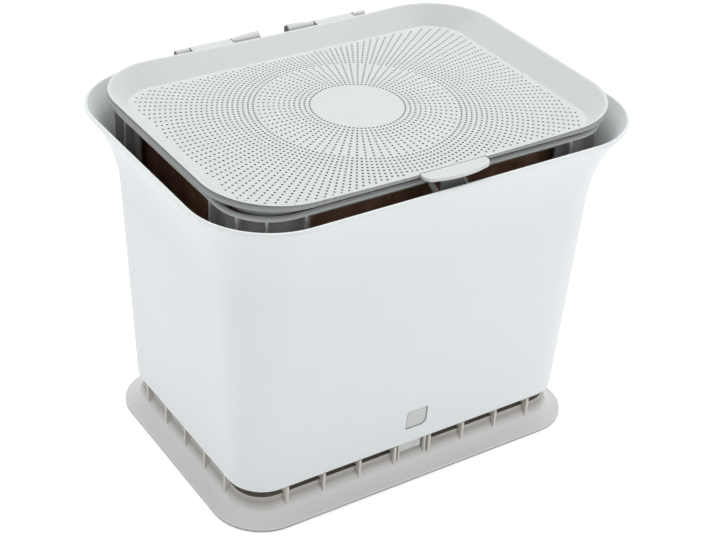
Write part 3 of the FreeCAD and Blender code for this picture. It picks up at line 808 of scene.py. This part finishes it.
@dataclass
class LinerBag:
    """Loose liner that hangs from the frame's shelf: a lofted shell with slack and creases."""

    core_half: Pair = (95.75 * MM, 57.75 * MM)
    hem_u: float = 25.4 * MM  # a u is a plan radius, out from the core rectangle
    hem_z: float = 214.1 * MM
    shelf_z: float = 213.3 * MM
    mouth_u: float = 23.2 * MM
    foot_u: float = 11.4 * MM
    foot_z: float = 36.6 * MM
    foot_round: float = 9 * MM
    film: float = 0.35 * MM
    rows: int = 60
    loosening_rows: int = 3  # from held by the shelf to hanging free
    foot_steps: int = 4
    end_steps: int = 48
    side_steps: int = 80
    corner_steps: int = 9
    slack: float = 5.5 * MM
    sag_waves: float = 14.0
    sag_mean: float = 0.6
    sag_swing: float = 0.4
    crease: float = 3.4 * MM
    crease_mean: float = 0.5
    ridge: float = 2.4  # steepness of the creases
    pleat_waves: float = 42.0
    pleat_share: float = 0.8
    pleat_rise: float = 0.22  # heights count for less, so that pleats run upright
    crumple_waves: float = 60.0
    crumple_share: float = 0.5
    crumple_slant: Pair = (0.5, -0.4)
    floor_loops: tuple[float, ...] = (0.8, 0.55, 0.3, 0.12)  # shares of the wall's last loop
    floor_lift: float = 0.8 * MM
    floor_swell: float = 1.6 * MM
    floor_waves: float = 45.0
    seed: float = 7.3

    def build(self, node: bpy.types.Object, material: bpy.types.Material) -> None:
        """Lofts the bag's shell and creases it.

        Args:
            node: the bag's plain solid.
            material: the film.
        """
        work = bmesh.new()
        loops = [self.loop(work, *station) for station in self.stations()]
        for upper, lower in zip(loops, loops[1:]):
            join_loops(work, upper, lower)
        self.close_floor(work, loops[-1])
        mesh = bpy.data.meshes.new("liner_bag_film")
        bmesh.ops.recalc_face_normals(work, faces=work.faces)
        work.to_mesh(mesh)
        work.free()
        mesh.materials.append(material)
        mesh.shade_smooth()
        piece = linked("liner_bag_film", mesh)
        wall = piece.modifiers.new("film", "SOLIDIFY")
        wall.thickness = self.film
        wall.offset = 0.0
        freeze(piece)
        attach(piece, Body.FRAME.value)
        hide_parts(node.name)
        LOG.info("liner bag: %d faces", len(piece.data.polygons))

    def stations(self) -> list[tuple[float, float, float]]:
        """Plan radius, height and looseness of each loop, from the hem to the floor.

        Returns:
            One row per loop.
        """
        hem_z = self.hem_z - self.film
        rows = [(self.hem_u, hem_z, 0.0), (self.mouth_u + self.film, hem_z, 0.0)]
        height = self.shelf_z - self.foot_z
        drop = height - self.foot_round
        for i in range(self.rows + 1):
            share = i / self.rows
            z = self.shelf_z - share * drop
            u = self.mouth_u + (self.foot_u - self.mouth_u) * (self.shelf_z - z) / height
            rows.append((u, z, min(1.0, share * self.rows / self.loosening_rows)))
        foot_u = rows[-1][0]
        for i in range(1, self.foot_steps + 1):
            turn = i / self.foot_steps * math.pi / 2
            u = foot_u - self.foot_round * (1 - math.cos(turn))
            rows.append((u, self.foot_z + self.foot_round * (1 - math.sin(turn)), 1.0))
        return rows

    def loop(
        self, work: bmesh.types.BMesh, u: float, z: float, loose: float
    ) -> list[bmesh.types.BMVert]:
        """One loop of points round the bag.

        Args:
            work: the mesh being made.
            u: plan radius out from the core rectangle.
            z: height.
            loose: how far the film hangs free, 0 to 1.

        Returns:
            The loop's points in order.
        """
        points = []
        for point, normal, along in self.plan(u):
            inward = loose * self.fold(point, z, along)
            place = (point.x - normal.x * inward, point.y - normal.y * inward, z)
            points.append(work.verts.new(place))
        return points

    def plan(self, u: float) -> list[tuple[Vector, Vector, float]]:
        """Points, outward directions and place along each side of a rounded rectangle.

        Args:
            u: plan radius out from the core rectangle.

        Returns:
            One row per point, all loops with the same count.
        """
        half_x, half_y = self.core_half
        end = (half_y, self.end_steps)
        side = (half_x, self.side_steps)
        sides = ((1, 0, *end), (0, 1, *side), (-1, 0, *end), (0, -1, *side))
        rows = []
        for k, (nx, ny, half, steps) in enumerate(sides):
            normal = Vector((nx, ny))
            along = Vector((-ny, nx))
            middle = Vector((nx * half_x, ny * half_y))
            for i in range(steps):
                share = i / steps * 2 - 1
                rows.append((middle + along * half * share + normal * u, normal, 1 - share * share))
            corner = middle + along * half
            start = k * math.pi / 2
            for i in range(self.corner_steps):
                angle = start + i / self.corner_steps * math.pi / 2
                out = Vector((math.cos(angle), math.sin(angle)))
                rows.append((corner + out * u, out, 0.0))
        return rows

    def fold(self, point: Vector, z: float, along: float) -> float:
        """How far the film hangs in from the straight wall.

        Args:
            point: place in plan.
            z: height.
            along: 0 at the corners to 1 in the middle of a side.

        Returns:
            The distance inwards.
        """
        upright = Vector((point.x, point.y, z * self.pleat_rise))
        slant_x, slant_y = self.crumple_slant
        slanted = Vector((point.x + z * slant_x, point.y + z * slant_y, z))
        swing = noise.noise(upright * self.sag_waves + Vector((self.seed, 0, 0)))
        sag = self.slack * along * (self.sag_mean + self.sag_swing * swing)
        pleat = self.ridge_at(upright * self.pleat_waves + Vector((0, self.seed, 0)))
        crumple = self.ridge_at(slanted * self.crumple_waves + Vector((0, 0, self.seed)))
        creases = self.pleat_share * pleat + self.crumple_share * crumple + self.crease_mean
        return max(0.0, sag + self.crease * creases)

    def ridge_at(self, place: Vector) -> float:
        """Height of sharp ridges in a noise, 1 along their crests."""
        return 1 - abs(noise.noise(place)) * self.ridge

    def close_floor(self, work: bmesh.types.BMesh, rim: list[bmesh.types.BMVert]) -> None:
        """Closes the bag's floor with loops that shrink to the middle.

        Args:
            work: the mesh being made.
            rim: the last loop of the wall.
        """
        last = rim
        for share in self.floor_loops:
            ring = []
            for point in rim:
                x, y = point.co.x * share, point.co.y * share
                wave = noise.noise(Vector((x * self.floor_waves, y * self.floor_waves, self.seed)))
                lift = max(0.0, self.floor_lift + self.floor_swell * wave)
                ring.append(work.verts.new((x, y, self.foot_z + lift)))
            join_loops(work, last, ring)
            last = ring
        middle = work.verts.new((0, 0, self.foot_z + self.floor_lift))
        for i in range(len(last)):
            work.faces.new((last[i], middle, last[(i + 1) % len(last)]))


@dataclass(frozen=True)
class Softbox:
    """A square lamp, aimed at a point."""

    name: str
    place: Point
    aim: Point
    size: float
    power: float

    def hang(self) -> None:
        """Hangs the lamp in the scene."""
        data = bpy.data.lights.new(self.name, "AREA")
        data.shape = "SQUARE"
        data.size = self.size
        data.energy = self.power
        lamp = bpy.data.objects.new(self.name, data)
        lamp.location = self.place
        lamp.rotation_mode = "QUATERNION"
        sight = Vector(self.aim) - Vector(self.place)
        lamp.rotation_quaternion = sight.to_track_quat("-Z", "Y")
        bpy.context.scene.collection.objects.link(lamp)


@dataclass
class Studio:
    """White sweep, soft light and the camera."""

    eye: Point = (-0.48607, -0.72314, 0.66090)
    right: Point = (0.84461, -0.53356, 0.04403)
    up: Point = (0.25808, 0.47783, 0.83969)
    back: Point = (-0.46906, -0.69785, 0.54128)
    focal_px: float = 1638.85
    middle_px: Pair = (349.84, 274.81)
    image: tuple[int, int] = (716, 540)
    sensor: float = 36.0
    sky: float = 0.40  # strength of its light on the object
    floor_half: float = 4.0
    floor_tint: Colour = (0.94, 0.94, 0.945)
    floor_gains: Pair = (0.995, 1.005)
    floor_scale: float = 30.0
    floor_roughness: float = 0.9
    floor_specular: float = 0.1
    floor_lifts: Pair = (0.42, 1.0)  # what the camera sees added, near and far off
    floor_far: Pair = (0.5, 1.5)  # where near ends and far off begins
    lamps: tuple[Softbox, ...] = (
        Softbox("top_softbox", (0.3, 0.45, 1.85), aim=(0.0, 0.0, 0.22), size=2.0, power=26.0),
        Softbox("front_softbox", (0.85, -1.5, 0.45), aim=(0.0, 0.0, 0.12), size=0.85, power=8.0),
        Softbox("left_softbox", (-1.75, 0.05, 0.45), aim=(0.0, 0.0, 0.12), size=0.85, power=6.5),
    )

    def build(self) -> None:
        """Makes the camera, floor, lamps and world."""
        self.place_camera()
        self.lay_floor()
        for lamp in self.lamps:
            lamp.hang()
        self.light_world()
        bpy.context.scene.view_settings.view_transform = "Standard"
        LOG.info("studio ready")

    def place_camera(self) -> None:
        """Puts the camera where the photograph was taken from."""
        width, height = self.image
        data = bpy.data.cameras.new("photo_camera")
        data.sensor_width = self.sensor
        data.lens = self.focal_px / width * self.sensor
        data.shift_x = (width / 2 - self.middle_px[0]) / width
        data.shift_y = (self.middle_px[1] - height / 2) / width
        camera = bpy.data.objects.new("photo_camera", data)
        turn = Matrix((self.right, self.up, self.back)).transposed().to_4x4()
        camera.matrix_world = Matrix.Translation(self.eye) @ turn
        bpy.context.scene.collection.objects.link(camera)
        bpy.context.scene.camera = camera

    def lay_floor(self) -> None:
        """Lays a pale floor that is white to the camera, more so far off, and keeps the shadow."""
        mesh = bpy.data.meshes.new("floor")
        h = self.floor_half
        mesh.from_pydata([(-h, -h, 0), (h, -h, 0), (h, h, 0), (-h, h, 0)], [], [(0, 1, 2, 3)])
        material, tree, shader = new_material("pale_floor")
        place = tree.add("ShaderNodeTexCoord").outputs["Object"]
        paper = tree.noise(place, self.floor_scale, detail=2.0).outputs[0]
        away = tree.add("ShaderNodeVectorMath", {0: place}, operation="LENGTH").outputs["Value"]
        lift = tree.ramp(away, self.floor_far, self.floor_lifts)
        looks = {
            "Base Color": tree.mix(paper, *(rgba(self.floor_tint, g) for g in self.floor_gains)),
            "Roughness": self.floor_roughness,
            "Specular IOR Level": self.floor_specular,
            "Emission Color": WHITE,
            "Emission Strength": tree.math("MULTIPLY", self.seen(tree), lift),
        }
        tree.fill(shader, looks)
        mesh.materials.append(material)
        linked("floor", mesh)

    def seen(self, tree: Tree) -> Socket:
        """1 for what the camera sees, directly or in gloss and glass, else 0.

        Args:
            tree: the tree to add to.

        Returns:
            The switch's socket.
        """
        path = tree.add("ShaderNodeLightPath").outputs
        mirrored = tree.math("MAXIMUM", path["Is Glossy Ray"], path["Is Transmission Ray"])
        return tree.math("MAXIMUM", path["Is Camera Ray"], mirrored)

    def light_world(self) -> None:
        """Even sky light, white where the camera looks past the floor."""
        world = bpy.data.worlds.new("studio_sky")
        bpy.context.scene.world = world
        world.use_nodes = True
        world.node_tree.nodes.clear()
        tree = Tree(world.node_tree)
        level = tree.ramp(self.seen(tree), (0.0, 1.0), (self.sky, 1.0))
        sky = tree.add("ShaderNodeBackground", {"Color": WHITE, "Strength": level})
        tree.add("ShaderNodeOutputWorld", {"Surface": sky.outputs[0]})


def clear_scene() -> None:
    """Removes whatever the scene starts with."""
    for thing in list(bpy.data.objects):
        bpy.data.objects.remove(thing)


def main() -> None:
    """Builds the caddy's pieces in order."""
    logging.basicConfig(level=logging.INFO, format="%(name)s: %(message)s")
    clear_scene()
    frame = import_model()
    nodes = frame["nodes"]
    materials = Finishes().materials()
    dresser = Dresser(nodes, materials)
    dresser.dress(Finish.BASE, "base_tray")
    dresser.dress(Finish.CATCH, "front_base_catch", "rear_base_catch")
    dresser.dress(Finish.BIN, "outer_bin")
    dresser.dress(Finish.FRAME, "liner_frame")
    dresser.dress(Finish.LID, "lid")
    dresser.dress(Finish.TAB, "press_tab")
    dresser.dress(Finish.BAG, "liner_bag")
    dresser.dress(Finish.PIN, "left_hinge_pin", "right_hinge_pin", "tab_pin")
    PerforatedLid().build(nodes["lid"], materials[Finish.LID])
    LinerBag().build(nodes["liner_bag"], materials[Finish.BAG])
    Studio().build()


if __name__ == "__main__":
    main()
